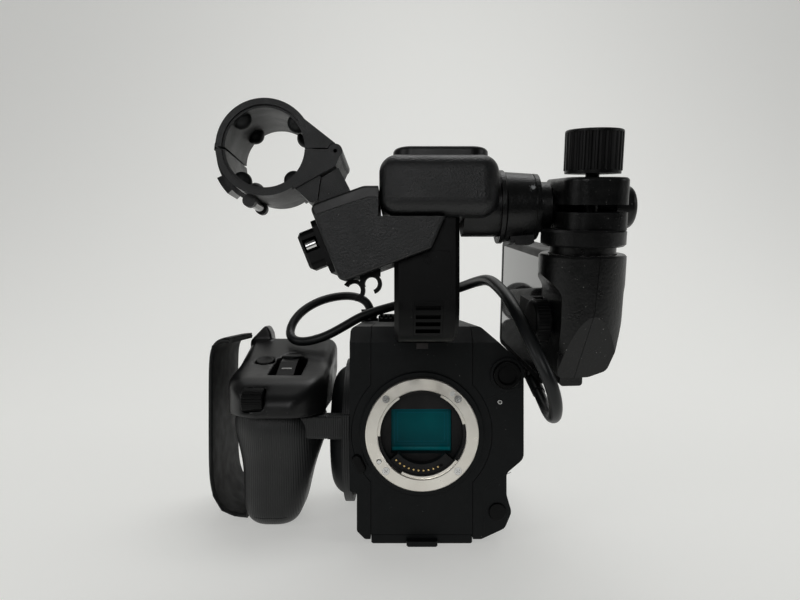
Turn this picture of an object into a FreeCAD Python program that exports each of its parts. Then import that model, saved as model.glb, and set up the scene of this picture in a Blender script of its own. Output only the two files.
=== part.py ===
"""A compact cinema camera rig: body with a bare lens mount, top handle with microphone holder and
audio box, screen on a swivelling arm, side grip with hand strap, and the screen's cable.

Millimetres. The origin is the mouth of the tripod socket in the base, under the lens axis.
+X is the camera's own left, -Y is the way the lens looks, +Z is up.
"""

import FreeCAD
import Part
import math
import os

# ---- driving dimensions -------------------------------------------------------------------------

GAP = 0.3                # clearance between neighbouring parts
SEAM = 0.3               # visible gap between body covers
WALL = 2.5               # body wall

# body
FRONT, REAR = -66.0, 50.0
BODY_TOP = 120.0
BASE_TOP = 4.8
SPINE = 28.2             # half width of the middle covers
FRONT_SEAM, TOP_SEAM = -46.0, 42.0
BEVEL = ((FRONT, 111.4), (-57.0, BODY_TOP))          # the slope over the front, as Y and Z
BODY_OUTLINE = [         # X, Z, corner radius, seen from the front
    (-40, 120, 3), (33.5, 120, 4), (56.5, 99, 5), (56.5, 47, 6), (47, 39, 4), (47, 27, 5),
    (49.8, 17.5, 6), (46, 8.5, 5), (33, 2.5, 2), (-31.5, 2.5, 2), (-36, 7, 2), (-36, 28, 1),
    (-40, 29, 1),
]

# lens mount
LENS_Z = 61.0
MOUNT_FACE = -70.0
RING_OUTER, RING_INNER, TAB_INNER = 31.1, 24.4, 23.05
BEZEL_OUTER, FACE_DISC = 34.5, 39.0
TABS = [(14, 64), (122, 182), (242, 323)]            # degrees, seen from the front
SCREW_CIRCLE, SCREW_ANGLES = 27.9, (45, 135, 225, 315)
LOCK_PIN_CIRCLE, LOCK_PIN_ANGLE = 27.7, 211.6
CHAMBER_DEPTH = 10.0
WINDOW_W, WINDOW_H = 34.3, 25.0
SENSOR_DEPTH = 18.0
CONTACT_CIRCLE, CONTACT_FROM, CONTACT_TO, CONTACTS = 20.3, 225.6, 296.2, 10

# controls on the front
RELEASE_X, RELEASE_Z, RELEASE_TURN = -34.8, 44.3, -64.4
RELEASE_LONG, RELEASE_WIDE = 10.5, 5.2
WHITE_X, WHITE_Z, WHITE_R = 41.9, 17.8, 4.7
DIAL_X, DIAL_Z, DIAL_R = 47.1, 93.6, 7.6

# battery
BATTERY_HALF, BATTERY_LOW, BATTERY_HIGH, BATTERY_FRONT, BATTERY_BACK = 20.7, 13.0, 82.0, 16.0, 53.0

# viewfinder hinge
FINDER_Y, FINDER_Z, FINDER_PIN = 33.0, 130.5, 1.5

# handle
POST_HALF, POST_FRONT, POST_BACK = 14.7, -131.0, -20.0
HANDLE_LOW, HANDLE_HIGH = 172.0, 196.0
NOSE_LEFT, NOSE_RIGHT, NOSE_FRONT, NOSE_BACK, NOSE_TOP = -21.3, 32.0, -139.0, -85.0, 199.5
CAP_RISE = 4.4                                       # how far the nose's cap stands up
BAR_HALF, BAR_BACK = 15.0, 45.0
ROCKER_AXIS = (-35.0, 195.2)                         # Y and Z

# audio box, outlined as X and Z
AUDIO_FRONT, AUDIO_BACK = -136.8, -96.0
AUDIO_OUTLINE = [
    (-51.8, 176.3, 3), (-28.1, 185.1, 8), (9, 185.1), (8, 172), (1.7, 157.7, 2), (-38.3, 142.7, 3),
]
AUDIO_SEAM = [(-60, 168.6), (-26.3, 179.9), (20, 180.2)]
AUDIO_END = (-45.0, 159.5)                           # middle of the slanted left end
AUDIO_OUT = 201.9                                    # degrees, the way the connector faces
SOCKET_Y, SOCKET_OUTER, SOCKET_R, SOCKET_DEPTH = 8.5, 9.2, 7.6, 8.5
TAB_Y, TAB_Z, TAB_R = -15.0, -2.4, 2.7

# microphone holder
MIC_X, MIC_Z, MIC_INNER, MIC_OUTER = -73.1, 203.9, 18.0, 22.0
MIC_FRONT, MIC_BACK = -129.0, -89.0
HINGE_X, HINGE_Z, HINGE_R, HINGE_PIN_R = -41.2, 202.1, 3.2, 1.4
PAD_R, PAD_ANGLES_UP, PAD_ANGLES_DOWN = 4.6, (42, 130), (231, 311)

# screen bracket
ROD_Y, ROD_Z, ROD_R = -114.0, 179.0, 7.8
LEAN = 9.8               # degrees that the bracket and screen lean, top towards the front
SWING = 4.1              # degrees that the arm and screen are swung in
SWIVEL_X, SWIVEL_Y = 70.2, -17.0                     # swivel axis, Y counted from the rod
KNOB_X, KNOB_R = 73.0, 12.5
HUB_Y, HUB_Z, HUB_R = -14.0, -51.7, 10.0             # screen tilt axis, counted from the rod
SCREEN_FACE, SCREEN_BACK = 62.5, 79.5
SCREEN_NEAR, SCREEN_FAR, SCREEN_LOW, SCREEN_HIGH = 9.0, 102.0, -91.0, -22.0
LEVER_PIVOT_Y = -109.2                               # where the rod's locking lever turns

# side grip
GRIP_AXIS_Y, GRIP_AXIS_Z, GRIP_HUB_R = 0.0, 50.0, 42.0
GRIP_SECTIONS = [        # height, then X and Y spans and corner radius of the hand piece
    (1.0, -100, -77, -40, -10, 9), (6.0, -104, -72.5, -46, -5, 13), (25.0, -106.5, -67, -49, -2, 16),
    (46.0, -109.5, -60.5, -51, 2, 20), (67.5, -112, -61, -51, 8, 22),
]
GRIP_LEFT, GRIP_RIGHT = -115.5, -56.0

# screen cable, from the plug on the body to the plug under the screen
CABLE_R = 3.0
CABLE_ROUTE = [
    (-33, 38, 125.5), (-34.5, 38.2, 131.5), (-40, 38.8, 136.3), (-49, 39, 138.3),
    (-60.5, 37, 137.2), (-72, 32.5, 133.5), (-81.5, 25.5, 127), (-86.5, 18, 119.5),
    (-87.5, 11.5, 112.5), (-84.5, 6, 108.5), (-78.8, 2.5, 107), (-71, 1.5, 107.8),
    (-61, 2.5, 111), (-50, 4, 117), (-38, 4.5, 124.2), (-22, 4, 129.5), (-3, 1, 134),
    (14, -8, 139), (26, -24, 143), (33, -46, 146), (37, -69, 146.5), (39.5, -92, 140.5),
    (41, -110, 134.5), (43, -125, 126), (46.5, -136, 114), (51.8, -140.5, 102),
    (55.8, -137.5, 91), (58, -128.5, 83), (60, -114.5, 79.3), (61.8, -98.5, 79),
    (62.8, -86, 81), (62.6, -75.5, 85.2),
]

AXES = {"x": FreeCAD.Vector(1, 0, 0), "y": FreeCAD.Vector(0, 1, 0), "z": FreeCAD.Vector(0, 0, 1)}


# ---- helpers ------------------------------------------------------------------------------------

def vec(x, y, z):
    return FreeCAD.Vector(x, y, z)


def place(axis, a, b, level):
    """A point of the plane square to an axis. (a, b) are Y, Z or X, Z or X, Y."""
    if axis == "x":
        return vec(level, a, b)
    if axis == "y":
        return vec(a, level, b)
    return vec(a, b, level)


def rounded_wire(points, axis, level):
    """A closed outline of straight runs. A third number rounds that corner."""
    corners = [(place(axis, p[0], p[1], level), p[2] if len(p) > 2 else 0) for p in points]
    starts, ends, arcs = [], [], []
    for i, (here, radius) in enumerate(corners):
        before = (corners[i - 1][0] - here).normalize()
        after = (corners[(i + 1) % len(corners)][0] - here).normalize()
        half = before.getAngle(after) / 2
        if radius == 0:
            starts.append(here)
            ends.append(here)
            arcs.append(None)
            continue
        reach = radius / math.tan(half)
        bisector = (before + after).normalize()
        middle = here + bisector * (radius / math.sin(half) - radius)
        starts.append(here + before * reach)
        ends.append(here + after * reach)
        arcs.append(Part.Arc(starts[-1], middle, ends[-1]).toShape())
    edges = []
    for i, arc in enumerate(arcs):
        if arc:
            edges.append(arc)
        follow = starts[(i + 1) % len(starts)]
        if (follow - ends[i]).Length > 1e-6:
            edges.append(Part.LineSegment(ends[i], follow).toShape())
    return Part.Wire(edges)


def slab(points, axis, low, high):
    """An outline drawn square to an axis and pushed along it from low to high."""
    face = Part.Face(rounded_wire(points, axis, low))
    return face.extrude(AXES[axis] * (high - low))


def inset(points, distance):
    """The outline moved inwards, with corners that stay parallel to the old ones."""
    area = sum(
        points[i - 1][0] * points[i][1] - points[i][0] * points[i - 1][1] for i in range(len(points))
    )
    side = 1 if area > 0 else -1
    lines = []
    for i, p in enumerate(points):
        q = points[(i + 1) % len(points)]
        length = math.hypot(q[0] - p[0], q[1] - p[1])
        ux, uy = (q[0] - p[0]) / length, (q[1] - p[1]) / length
        lines.append((p[0] - uy * side * distance, p[1] + ux * side * distance, ux, uy))
    shifted = []
    for i, p in enumerate(points):
        x0, y0, ax, ay = lines[i - 1]
        x1, y1, bx, by = lines[i]
        cross = ax * by - ay * bx
        t = ((x1 - x0) * by - (y1 - y0) * bx) / cross
        radius = p[2] if len(p) > 2 else 0
        if radius:
            outward = cross * side > 0
            radius = max(radius - distance, 0.4) if outward else radius + distance
        shifted.append((x0 + ax * t, y0 + ay * t, radius))
    return shifted


def box(x0, x1, y0, y1, z0, z1):
    return Part.makeBox(x1 - x0, y1 - y0, z1 - z0, vec(x0, y0, z0))


def disc(axis, a, b, radius, low, high):
    return Part.makeCylinder(radius, high - low, place(axis, a, b, low), AXES[axis])


def cone(axis, a, b, low_radius, high_radius, low, high):
    return Part.makeCone(low_radius, high_radius, high - low, place(axis, a, b, low), AXES[axis])


def tube(axis, a, b, outer, inner, low, high):
    return disc(axis, a, b, outer, low, high).cut(disc(axis, a, b, inner, low - 1, high + 1))


def rounded_box(x0, x1, y0, y1, z0, z1, radius, axis="y"):
    """A box whose four edges along one axis are rounded."""
    if axis == "x":
        points = [(y0, z0, radius), (y1, z0, radius), (y1, z1, radius), (y0, z1, radius)]
        return slab(points, "x", x0, x1)
    if axis == "y":
        points = [(x0, z0, radius), (x1, z0, radius), (x1, z1, radius), (x0, z1, radius)]
        return slab(points, "y", y0, y1)
    points = [(x0, y0, radius), (x1, y0, radius), (x1, y1, radius), (x0, y1, radius)]
    return slab(points, "z", z0, z1)


def on_circle(radius, degrees, x=0.0, z=LENS_Z):
    """X and Z of a point on a circle seen from the front."""
    turn = math.radians(degrees)
    return x + radius * math.cos(turn), z + radius * math.sin(turn)


def sector(x, z, outer, inner, start, stop, low, high):
    """A piece of a ring about a front-to-back axis, between two angles."""
    def point(radius, degrees):
        px, pz = on_circle(radius, degrees, x, z)
        return vec(px, low, pz)
    middle = (start + stop) / 2
    edges = [
        Part.Arc(point(outer, start), point(outer, middle), point(outer, stop)).toShape(),
        Part.LineSegment(point(outer, stop), point(inner, stop)).toShape(),
        Part.Arc(point(inner, stop), point(inner, middle), point(inner, start)).toShape(),
        Part.LineSegment(point(inner, start), point(outer, start)).toShape(),
    ]
    return Part.Face(Part.Wire(edges)).extrude(AXES["y"] * (high - low))


def join(first, *others):
    return first.fuse(list(others)).removeSplitter()


def turned(shape, axis, degrees, x=0.0, y=0.0, z=0.0):
    """The shape turned about an axis through a point."""
    copy = shape.copy()
    copy.rotate(vec(x, y, z), AXES[axis], degrees)
    return copy


def moved(shape, x, y, z):
    copy = shape.copy()
    copy.translate(vec(x, y, z))
    return copy


def edges_at(shape, axis, value):
    """The edges that lie in the plane where an axis has this value."""
    def lies_there(edge):
        b = edge.BoundBox
        low, high = {"x": (b.XMin, b.XMax), "y": (b.YMin, b.YMax), "z": (b.ZMin, b.ZMax)}[axis]
        return abs(low - value) < 0.01 and abs(high - value) < 0.01
    return [edge for edge in shape.Edges if lies_there(edge)]


def edges_along(shape, axis, at_least=0.0):
    """The straight edges that run along an axis."""
    def runs_along(edge):
        if edge.Curve.TypeId != "Part::GeomLine" or edge.Length < at_least:
            return False
        return abs(abs(edge.Curve.Direction.dot(AXES[axis])) - 1) < 1e-6
    return [edge for edge in shape.Edges if runs_along(edge)]


def fluted(shape, axis, a, b, radius, groove, count, low, high):
    """The shape with grooves cut along its rim."""
    cutters = []
    for i in range(count):
        turn = 2 * math.pi * i / count
        at = (a + radius * math.cos(turn), b + radius * math.sin(turn))
        cutters.append(disc(axis, at[0], at[1], groove, low, high))
    return shape.cut(cutters)


def stadium(x, z, degrees, length, width, low, high):
    """A round-ended bar shape, drawn about a centre seen from the front."""
    r, half = width / 2, (length - width) / 2
    bar = join(box(x - half, x + half, low, high, z - r, z + r),
               disc("y", x - half, z, r, low, high), disc("y", x + half, z, r, low, high))
    return turned(bar, "y", -degrees, x, low, z)


# ---- body ---------------------------------------------------------------------------------------

def bevel_cutter(depth):
    """What the slope over the front takes off, moved inwards by a depth."""
    (y0, z0), (y1, z1) = BEVEL
    length = math.hypot(y1 - y0, z1 - z0)
    uy, uz = (y1 - y0) / length, (z1 - z0) / length
    inward = (uz * depth, -uy * depth)
    run = 12
    low = (y0 + inward[0] - uy * run, z0 + inward[1] - uz * run)
    high = (y1 + inward[0] + uy * run, z1 + inward[1] + uz * run)
    return slab([low, high, (low[0] - 3, high[1] + 3)], "x", -70, 70)


def body_solid(depth, low, high):
    """The body's outline, moved inwards by a depth, between two Y values."""
    outline = inset(BODY_OUTLINE, depth) if depth else BODY_OUTLINE
    return slab(outline, "y", low, high).cut(bevel_cutter(depth))


def body_shell():
    shell = body_solid(0, FRONT, REAR).cut(body_solid(WALL, FRONT + WALL, REAR - WALL))
    base_notch = box(-SPINE - SEAM / 2, SPINE + SEAM / 2, FRONT - 1, REAR + 1, -1, BASE_TOP + 0.25)
    return shell.cut(base_notch)


def release_hole(grow, low, high):
    return stadium(RELEASE_X, RELEASE_Z, RELEASE_TURN, RELEASE_LONG + grow, RELEASE_WIDE + grow,
                   low, high)


def front_openings():
    """Everything that goes through the front wall."""
    return [
        disc("y", 0, LENS_Z, RING_OUTER + 0.1, FRONT - 5, FRONT + 4),
        release_hole(0.5, FRONT - 1, FRONT + 4),
        disc("y", WHITE_X, WHITE_Z, WHITE_R + 0.25, FRONT - 1, FRONT + 4),
        disc("y", DIAL_X, DIAL_Z, DIAL_R + 0.3, FRONT - 5, FRONT + 4),
        box(-3.1, 3.5, FRONT - 1, FRONT + 4, 107.9, 111.1),
    ]


def front_cover(shell):
    half = SPINE - SEAM / 2
    column = box(-half, half, FRONT - 1, FRONT_SEAM - SEAM / 2, 0, 130)
    face = disc("y", 0, LENS_Z, FACE_DISC - SEAM / 2, FRONT - 1, FRONT + WALL)
    cover = shell.common(column.fuse(face))
    bezel = disc("y", 0, LENS_Z, BEZEL_OUTER, FRONT - 1.3, FRONT + 0.5)
    bezel = bezel.makeChamfer(0.6, edges_at(bezel, "y", FRONT - 1.3))
    return cover.fuse(bezel).cut(front_openings()).removeSplitter()


def side_cover(shell, side):
    """The cover on one side: 1 for the camera's left, -1 for its right."""
    edge = side * (SPINE + SEAM / 2)
    region = box(min(edge, side * 70), max(edge, side * 70), FRONT - 1, REAR + 1, 0, 130)
    face = disc("y", 0, LENS_Z, FACE_DISC + SEAM / 2, FRONT - 1, FRONT + WALL + 0.1)
    cover = shell.common(region).cut(face)
    return cover.cut(front_openings())


def left_cover(shell):
    cover = side_cover(shell, 1)
    collar = tube("y", DIAL_X, DIAL_Z, DIAL_R + 1.7, DIAL_R + 0.3, FRONT - 1.6, FRONT + 0.5)
    cover = cover.fuse(collar)
    door_hole = box(32, 52, REAR - WALL - 1, REAR + 1, 52, 92)
    knuckle_room = disc("z", 51.4, REAR, 1.6, 52, 92)
    return cover.cut([door_hole, knuckle_room]).removeSplitter()


def right_cover(shell):
    stud = join(disc("z", -36, 22, 1.6, BODY_TOP - 0.5, 127), disc("z", -36, 22, 3.2, 127, 128.5),
                disc("z", -36, 22, 3.4, BODY_TOP - 0.5, 121.2))
    return join(side_cover(shell, -1), stud)


def top_cover(shell):
    """The middle of the top, with a slotted vent and the ears that carry the viewfinder."""
    half = SPINE - SEAM / 2
    region = box(-half, half, FRONT_SEAM + SEAM / 2, TOP_SEAM - SEAM / 2, 60, 130)
    vent = rounded_box(-half + 1, half - 1, 16, 39, BODY_TOP - 0.5, 125, 2, "z")
    vent = vent.makeChamfer(1.2, edges_at(vent, "z", 125))
    slots = [box(-half + 2.5 + i * 3.1, -half + 4.1 + i * 3.1, 15, 28.5, 122.4, 126)
             for i in range(17)]
    ears = []
    for low, high, pin_low, pin_high in ((-15.2, -12.5, -13, -6), (22.5, 25.2, 16, 23)):
        ears.append(box(low, high, FINDER_Y - 4, FINDER_Y + 4, 124, FINDER_Z))
        ears.append(disc("x", FINDER_Y, FINDER_Z, 4, low, high))
        ears.append(disc("x", FINDER_Y, FINDER_Z, FINDER_PIN, pin_low, pin_high))
    return join(shell.common(region), vent.cut(slots), *ears)


def rear_cover(shell):
    half = SPINE - SEAM / 2
    region = box(-half, half, TOP_SEAM + SEAM / 2, REAR + 1, 0, 130)
    bay = box(-23, 23, 13.5, REAR, 10.5, 84.5)
    hollow = box(-21.5, 21.5, 15, REAR + 1, 12, 83)
    return shell.common(region).fuse(bay).cut(hollow).removeSplitter()


def chassis():
    depth = WALL + GAP
    plate = body_solid(depth, FRONT + depth, FRONT + depth + 4)
    plate = plate.cut(disc("y", 0, LENS_Z, RING_INNER, FRONT, FRONT + 10))
    bulkhead = body_solid(depth, 5, 8).cut(disc("y", 0, LENS_Z, 14, 0, 10))
    rails = []
    for side in (-1, 1):
        for low, high in ((7.6, 11.8), (108, 112)):
            x0, x1 = sorted((side * 23.5, side * 27.5))
            rails.append(box(x0, x1, FRONT + depth + 1, 40, low, high))
    frame = join(plate, bulkhead, *rails)
    holes = [box(-25.4, 25.4, FRONT, REAR, 0, 7.3),
             release_hole(1.0, FRONT, FRONT + 10),
             disc("y", WHITE_X, WHITE_Z, WHITE_R + 0.6, FRONT, FRONT + 10),
             disc("y", DIAL_X, DIAL_Z, DIAL_R + 0.6, FRONT, FRONT + 10),
             lock_pin_solid(0.15, FRONT, FRONT + 10)]
    holes += [disc("y", *on_circle(SCREW_CIRCLE, a), 1.1, FRONT, FRONT + 10) for a in SCREW_ANGLES]
    return frame.cut(holes)


def base_plate():
    half = SPINE - SEAM / 2
    plate = rounded_box(-half, half, FRONT, REAR, 0, BASE_TOP, 1.5, "z")
    tongue = rounded_box(-8.5, 8.5, FRONT - 5, FRONT + 4, 0, 3, 1.5, "z")
    inner = box(-25, 25, FRONT + 8, REAR - 6, BASE_TOP - 1, 7)
    sockets = [disc("z", 0, 0, 3.175, -1, 5.8), disc("z", 0, 24, 4.7625, -1, 5.8)]
    plate = join(plate, tongue, inner)
    plate = plate.makeChamfer(0.5, edges_at(plate, "z", 0))
    return plate.cut(sockets)


def tally_window():
    return rounded_box(-3.0, 3.4, FRONT - 0.3, FRONT + 2.2, 108.0, 111.0, 0.4)


# ---- lens mount ---------------------------------------------------------------------------------

def lock_pin_solid(grow, low, high):
    x, z = on_circle(LOCK_PIN_CIRCLE, LOCK_PIN_ANGLE)
    return disc("y", x, z, 1.3 + grow, low, high)


def lens_mount_ring():
    back = FRONT + WALL + GAP
    ring = tube("y", 0, LENS_Z, RING_OUTER, RING_INNER, MOUNT_FACE, back)
    ring = ring.makeChamfer(0.4, edges_at(ring, "y", MOUNT_FACE))
    tabs = [sector(0, LENS_Z, RING_INNER + 0.2, TAB_INNER, a, b, MOUNT_FACE + 1.1, MOUNT_FACE + 2.9)
            for a, b in TABS]
    holes = [lock_pin_solid(0.15, MOUNT_FACE - 1, back + 1)]
    for angle in SCREW_ANGLES:
        x, z = on_circle(SCREW_CIRCLE, angle)
        holes.append(disc("y", x, z, 1.1, MOUNT_FACE - 1, back + 1))
        holes.append(cone("y", x, z, 2.2, 1.1, MOUNT_FACE - 0.05, MOUNT_FACE + 1.1))
    return join(ring, *tabs).cut(holes)


def lens_mount_screws():
    screws = []
    for angle in SCREW_ANGLES:
        x, z = on_circle(SCREW_CIRCLE, angle)
        head = cone("y", x, z, 2.05, 1.0, MOUNT_FACE + 0.05, MOUNT_FACE + 1.1)
        shank = disc("y", x, z, 1.0, MOUNT_FACE + 1.0, FRONT + 6)
        screw = join(head, shank)
        for turn in (angle, angle + 90):
            slot = box(x - 1.3, x + 1.3, MOUNT_FACE - 1, MOUNT_FACE + 0.7, z - 0.25, z + 0.25)
            screw = screw.cut(turned(slot, "y", -turn, x, 0, z))
        screws.append(screw)
    return Part.makeCompound(screws)


def mount_chamber():
    floor_y = MOUNT_FACE + CHAMBER_DEPTH
    sensor_y = MOUNT_FACE + SENSOR_DEPTH
    low, high = LENS_Z - WINDOW_H / 2, LENS_Z + WINDOW_H / 2
    half = WINDOW_W / 2
    wall = tube("y", 0, LENS_Z, RING_INNER - 0.2, TAB_INNER - 0.2, MOUNT_FACE + 3.1, floor_y + 1)
    floor = disc("y", 0, LENS_Z, RING_INNER - 0.2, floor_y, floor_y + 2)
    holder = box(-half - 3, half + 3, floor_y + 1, sensor_y + 2, low - 3, high + 3)
    block = sector(0, LENS_Z, TAB_INNER, 17, 220, 320, MOUNT_FACE + 3.6, floor_y + 1)
    window = rounded_box(-half, half, floor_y - 5, sensor_y + 5, low, high, 1)
    screw_hole = disc("y", *on_circle(CONTACT_CIRCLE, 302), 0.9, MOUNT_FACE, MOUNT_FACE + 5)
    body = join(wall, floor, holder).cut(window)
    return join(body, block.cut(screw_hole))


def image_sensor():
    sensor_y = MOUNT_FACE + SENSOR_DEPTH
    half, up = WINDOW_W / 2, WINDOW_H / 2
    die = box(-half + 0.1, half - 0.1, sensor_y, sensor_y + 2.5, LENS_Z - up + 0.1, LENS_Z + up - 0.1)
    board = box(-half - 3, half + 3, sensor_y + 2, sensor_y + 3.6, LENS_Z - up - 3, LENS_Z + up + 3)
    return join(die, board)


def sensor_glass():
    sensor_y = MOUNT_FACE + SENSOR_DEPTH
    half, up = WINDOW_W / 2 - 0.1, WINDOW_H / 2 - 0.1
    return box(-half, half, sensor_y - 2, sensor_y, LENS_Z - up, LENS_Z + up)


def contact_pins():
    step = (CONTACT_TO - CONTACT_FROM) / (CONTACTS - 1)
    pins = []
    for i in range(CONTACTS):
        x, z = on_circle(CONTACT_CIRCLE, CONTACT_FROM + i * step)
        pin = disc("y", x, z, 0.6, MOUNT_FACE + 2.9, MOUNT_FACE + 3.6)
        pins.append(pin.makeFillet(0.3, edges_at(pin, "y", MOUNT_FACE + 2.9)))
    return Part.makeCompound(pins)


def lens_lock_pin():
    pin = lock_pin_solid(0, MOUNT_FACE - 1.0, FRONT + 6)
    return pin.makeChamfer(0.3, edges_at(pin, "y", MOUNT_FACE - 1.0))


# ---- controls on the front and the rear ---------------------------------------------------------

def lens_release_button():
    button = release_hole(0, FRONT - 2.0, FRONT + 2.2)
    return button.makeFillet(1.0, edges_at(button, "y", FRONT - 2.0))


def white_balance_button():
    button = disc("y", WHITE_X, WHITE_Z, WHITE_R, FRONT - 1.2, FRONT + 2.2)
    return button.makeFillet(0.6, edges_at(button, "y", FRONT - 1.2))


def nd_filter_dial():
    face = FRONT - 3.0
    dial = disc("y", DIAL_X, DIAL_Z, DIAL_R, face, FRONT + 2.2)
    dial = dial.makeChamfer(0.5, edges_at(dial, "y", face))
    dial = fluted(dial, "y", DIAL_X, DIAL_Z, DIAL_R + 0.15, 0.45, 30, face - 1, FRONT - 0.2)
    return dial.cut(cone("y", DIAL_X, DIAL_Z, 5.6, 4.6, face - 0.01, face + 1.2))


def battery_pack():
    pack = rounded_box(-BATTERY_HALF, BATTERY_HALF, BATTERY_FRONT, BATTERY_BACK, BATTERY_LOW,
                       BATTERY_HIGH, 2)
    pack = pack.makeChamfer(1.0, edges_at(pack, "y", BATTERY_BACK))
    ribs = [box(-12, 12, BATTERY_BACK - 0.8, BATTERY_BACK + 1, 66 + i * 3, 67.2 + i * 3)
            for i in range(4)]
    return pack.cut(ribs)


def card_door():
    door = box(32 + GAP, 51.4, REAR - WALL + 0.2, REAR, 52 + GAP, 92 - GAP)
    knuckle = disc("z", 51.4, REAR, 1.25, 52 + GAP, 92 - GAP)
    grip_lip = box(33, 35.4, REAR - 0.5, REAR + 0.8, 66, 78)
    return join(door, knuckle, grip_lip)


def viewfinder_tube():
    """The eyepiece's tube, cut away underneath where it tilts up over the vent."""
    finder = rounded_box(-12, 22, 27, 88, 121.6, 143, 6)
    finder = finder.makeFillet(1.5, edges_at(finder, "y", 27))
    lens_well = disc("y", 5, 132.3, 8, 80, 89)
    hinge_bore = disc("x", FINDER_Y, FINDER_Z, FINDER_PIN + 0.05, -13, 23)
    under = box(-13, 23, 26, 41.5, 120, 128)
    return finder.cut([lens_well, hinge_bore, under])


def viewfinder_eyecup():
    outer = cone("y", 5, 132.3, 13.5, 16.5, 88, 101)
    hollow = cone("y", 5, 132.3, 9, 14.6, 87.9, 101.1)
    return outer.cut(hollow)


# ---- top handle ---------------------------------------------------------------------------------

POST_OUTLINE = [         # Y, Z, corner radius, seen from the side
    (POST_FRONT, HANDLE_LOW), (POST_FRONT, 115.6, 19), (-87, 114.6, 3), (-56, BODY_TOP),
    (POST_BACK, BODY_TOP), (POST_BACK - 2, 125, 5), (-76, HANDLE_LOW),
]
GRILLE_X0, GRILLE_X1, GRILLE_Z0, GRILLE_Z1, GRILLE_DEPTH = -6.0, 7.2, 118.6, 134.4, 3.0


def post_skin(depth):
    """The outer layer of the post's curved chin, as deep as given, where the grille sits."""
    whole = slab(POST_OUTLINE, "x", GRILLE_X0 - 5, GRILLE_X1 + 5)
    core = [(POST_FRONT + depth, HANDLE_LOW), (POST_FRONT + depth, 115.6 + depth, 19 - depth),
            (-87, 114.6 + depth, 3), (-60, 122), (-30, 122), (-76, HANDLE_LOW)]
    return whole.cut(slab(core, "x", GRILLE_X0 - 6, GRILLE_X1 + 6))


def grille_window(grow):
    return box(GRILLE_X0 - grow, GRILLE_X1 + grow, POST_FRONT - 1, -108, GRILLE_Z0 - grow,
               GRILLE_Z1 + grow)


def handle_post():
    post = slab(POST_OUTLINE, "x", -POST_HALF, POST_HALF)
    post = post.makeChamfer(2.0, edges_along(post, "z", 30))
    panel = rounded_box(-10.8, 10.8, POST_FRONT - 1, POST_FRONT + 0.35, 119, 157, 2)
    screw = tube("y", 0.4, 152.8, 1.9, 1.3, POST_FRONT - 1, POST_FRONT + 0.8)
    pocket = post_skin(GRILLE_DEPTH).common(grille_window(0.1))
    audio_room = slab(inset(AUDIO_OUTLINE, -GAP), "y", AUDIO_FRONT, POST_FRONT + 1.2)
    return post.cut([panel, screw, pocket, audio_room]).removeSplitter()


def mic_grille():
    grille = post_skin(GRILLE_DEPTH).common(grille_window(0))
    slots = [box(GRILLE_X0 + 1, GRILLE_X1 - 1, -140, -100, z, z + 1.9)
             for z in (119.8, 123.1, 126.4, 130.4)]
    keep = post_skin(GRILLE_DEPTH).cut(post_skin(GRILLE_DEPTH - 0.8))
    return grille.cut(slots).fuse(keep.common(grille_window(0))).removeSplitter()


def nose_solid():
    nose = rounded_box(NOSE_LEFT, NOSE_RIGHT, NOSE_FRONT, NOSE_BACK, HANDLE_LOW, NOSE_TOP, 8)
    nose = nose.makeFillet(7.5, edges_at(nose, "y", NOSE_FRONT))
    return nose.makeFillet(3, edges_at(nose, "y", NOSE_BACK))


def handle_grip():
    """The carrying bar with its blunt nose, hollowed where the screen bracket's housing goes in."""
    bar = rounded_box(-BAR_HALF, BAR_HALF, NOSE_BACK - 4, BAR_BACK, HANDLE_LOW, HANDLE_HIGH, 8)
    bar = bar.makeFillet(6, edges_at(bar, "y", BAR_BACK))
    housing = disc("x", ROD_Y, ROD_Z, 14.3, 16.8, NOSE_RIGHT + 1)
    cap_seat = rounded_box(-15.4, 28.4, -132, -92, NOSE_TOP - 1.5, NOSE_TOP + CAP_RISE, 9, "z")
    button_well = disc("z", 0, -62, 5.3, HANDLE_HIGH - 3.5, HANDLE_HIGH + 1)
    rocker_well = rounded_box(-4.8, 4.8, -44, -26, HANDLE_HIGH - 5, HANDLE_HIGH + 1, 3, "z")
    shoe_well = box(-10.3, 10.3, 0, 24, HANDLE_HIGH - 2.5, HANDLE_HIGH + 1)
    wells = [housing, cap_seat, button_well, rocker_well, shoe_well]
    rocker_pin = disc("x", *ROCKER_AXIS, 1.0, -5.5, 5.5)
    return join(join(nose_solid(), bar).cut(wells), rocker_pin)


def handle_nose_cap():
    cap = rounded_box(-15.2, 28.2, -131.8, -92.2, NOSE_TOP - 1.5, NOSE_TOP + CAP_RISE, 8.8, "z")
    return cap.makeFillet(1.8, edges_at(cap, "z", NOSE_TOP + CAP_RISE))


def handle_rec_button():
    button = disc("z", 0, -62, 5.0, HANDLE_HIGH - 2.3, HANDLE_HIGH + 1.0)
    return button.makeFillet(0.8, edges_at(button, "z", HANDLE_HIGH + 1.0))


def handle_zoom_rocker():
    rocker = rounded_box(-4.5, 4.5, -43.5, -26.5, HANDLE_HIGH - 2.2, HANDLE_HIGH + 2.0, 3, "z")
    dish = disc("x", -35, HANDLE_HIGH + 12, 11.0, -6, 6)
    return rocker.cut([dish, disc("x", *ROCKER_AXIS, 1.05, -6, 6)])


def accessory_shoe():
    low = HANDLE_HIGH - 2.5
    base = box(-10, 10, 0.3, 23.7, low, low + 3.5)
    rails = [box(-10, -6.2, 0.3, 23.7, low + 3, low + 7.5), box(6.2, 10, 0.3, 23.7, low + 3, low + 7.5)]
    slot = box(-9.3, 9.3, -1, 21.5, low + 3.5, low + 5.7)
    lip = box(-10, 10, 21.7, 23.7, low + 3, low + 7.5)
    return join(base, lip, *rails).cut(slot)


# ---- audio box ----------------------------------------------------------------------------------

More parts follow.
